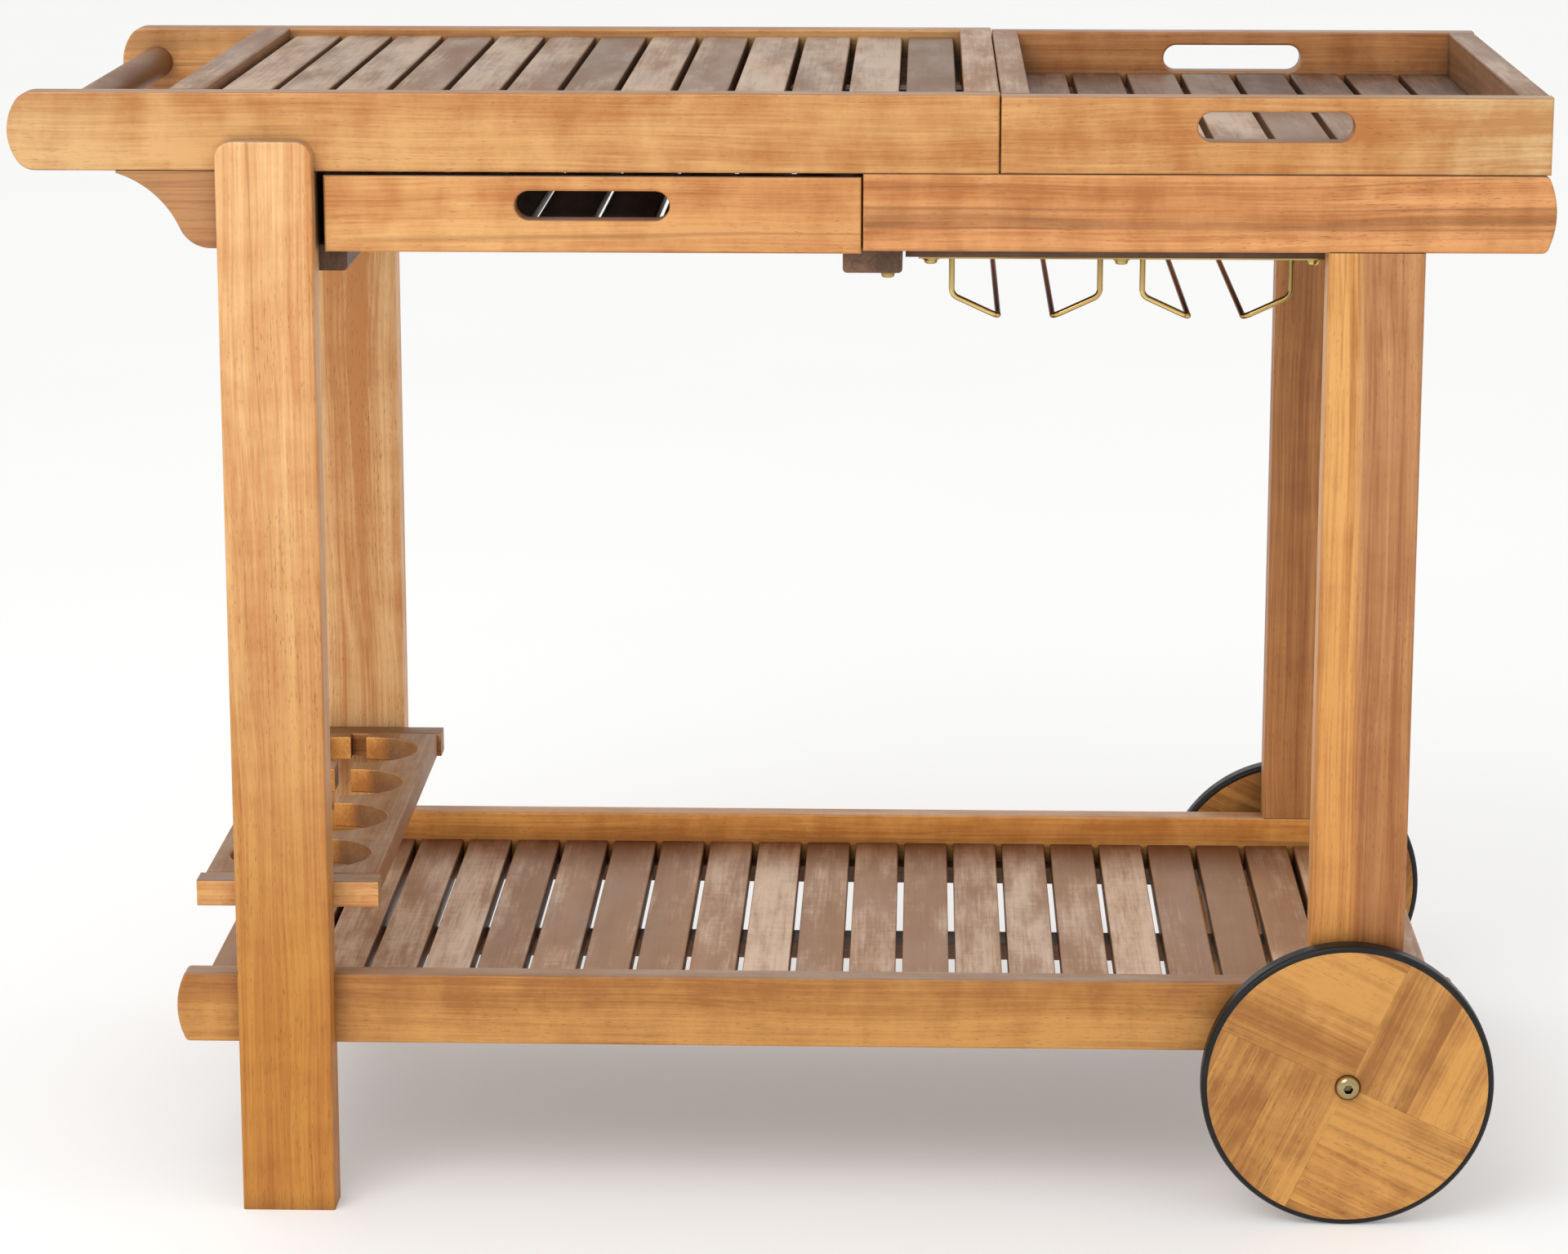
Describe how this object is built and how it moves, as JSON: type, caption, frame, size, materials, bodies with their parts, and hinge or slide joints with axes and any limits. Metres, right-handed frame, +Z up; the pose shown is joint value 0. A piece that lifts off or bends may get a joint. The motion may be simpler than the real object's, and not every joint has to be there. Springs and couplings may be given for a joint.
{
  "type": "tea trolley",
  "caption": "Wooden tea trolley with a slatted top, lift-off tray, drawer, bottle rack, stemware rack, slatted lower shelf, round push handle and wooden wheels with rubber tyres.",
  "frame": {"origin": "on the floor, under the middle of the trolley's overall box", "axes": "+X along the trolley away from the push handle, +Y from the drawer side to the back, +Z up"},
  "size_m": [1.055, 0.5366, 0.798],
  "materials": {
    "rail_wood": "oiled, satin",
    "drawer_wood": "oiled, satin",
    "tray_wood": "oiled, satin",
    "leg_wood": "oiled, satin",
    "cross_wood": "oiled, satin",
    "handle_wood": "oiled, satin",
    "slat_wood": "oiled, satin",
    "rack_wood": "oiled, satin",
    "dark_wood": "oiled, satin",
    "wheel_wood": "oiled, satin",
    "tyre": "matt black rubber",
    "brass": "satin brass"
  },
  "bodies": {
    "frame": {"top_front_rail": "rail_wood", "top_rear_rail": "rail_wood", "front_apron": "rail_wood", "rear_apron": "rail_wood", "shelf_front_rail": "rail_wood", "shelf_rear_rail": "rail_wood", "front_corbel": "rail_wood", "rear_corbel": "rail_wood", "leg_front_left": "leg_wood", "leg_rear_left": "leg_wood", "leg_front_right": "leg_wood", "leg_rear_right": "leg_wood", "top_left_cross": "cross_wood", "top_right_cross": "cross_wood", "handle_dowel": "handle_wood", "top_slats": "slat_wood", "shelf_slats": "slat_wood", "bottle_board_left": "rack_wood", "bottle_board_right": "rack_wood", "bottle_front_batten": "rack_wood", "bottle_rear_batten": "rack_wood", "left_cross_rail": "dark_wood", "mid_cross_rail": "dark_wood", "right_cross_rail": "dark_wood", "drawer_runner_left": "dark_wood", "drawer_runner_right": "dark_wood", "glass_batten_front": "dark_wood", "glass_batten_rear": "dark_wood", "top_slat_cleats": "dark_wood", "top_center_batten": "dark_wood", "shelf_slat_cleats": "dark_wood", "shelf_center_batten": "dark_wood", "shelf_left_cross_rail": "dark_wood", "shelf_right_cross_rail": "dark_wood", "glass_bar_front": "brass", "glass_bar_rear": "brass", "glass_wires": "brass", "glass_screws": "brass", "runner_screws": "brass", "axle_bolts": "brass", "axle_spacers": "brass", "axle_nuts": "brass"},
    "drawer": {"drawer_front": "drawer_wood", "drawer_back": "drawer_wood", "drawer_side_left": "cross_wood", "drawer_side_right": "cross_wood", "drawer_slats": "slat_wood", "drawer_slat_cleats": "dark_wood"},
    "tray": {"tray_front": "tray_wood", "tray_back": "tray_wood", "tray_side_left": "cross_wood", "tray_side_right": "cross_wood", "tray_slats": "slat_wood", "tray_slat_cleats": "dark_wood"},
    "front_wheel": {"wheel_disc_front": "wheel_wood", "tyre_front": "tyre", "bush_front": "brass"},
    "rear_wheel": {"wheel_disc_rear": "wheel_wood", "tyre_rear": "tyre", "bush_rear": "brass"}
  },
  "joints": [
    {"name": "drawer_slide", "type": "slide", "parent": "frame", "child": "drawer", "axis": [0, -1, 0], "range_m": [0, 0.3]},
    {"name": "tray_lift", "type": "slide", "parent": "frame", "child": "tray", "axis": [0, 0, 1], "range_m": [0, 0.25]},
    {"name": "front_wheel_roll", "type": "hinge", "parent": "frame", "child": "front_wheel", "pos_m": [0.401, -0.254, 0.103], "axis": [0, 1, 0], "continuous": true},
    {"name": "rear_wheel_roll", "type": "hinge", "parent": "frame", "child": "rear_wheel", "pos_m": [0.401, 0.254, 0.103], "axis": [0, 1, 0], "continuous": true}
  ]
}
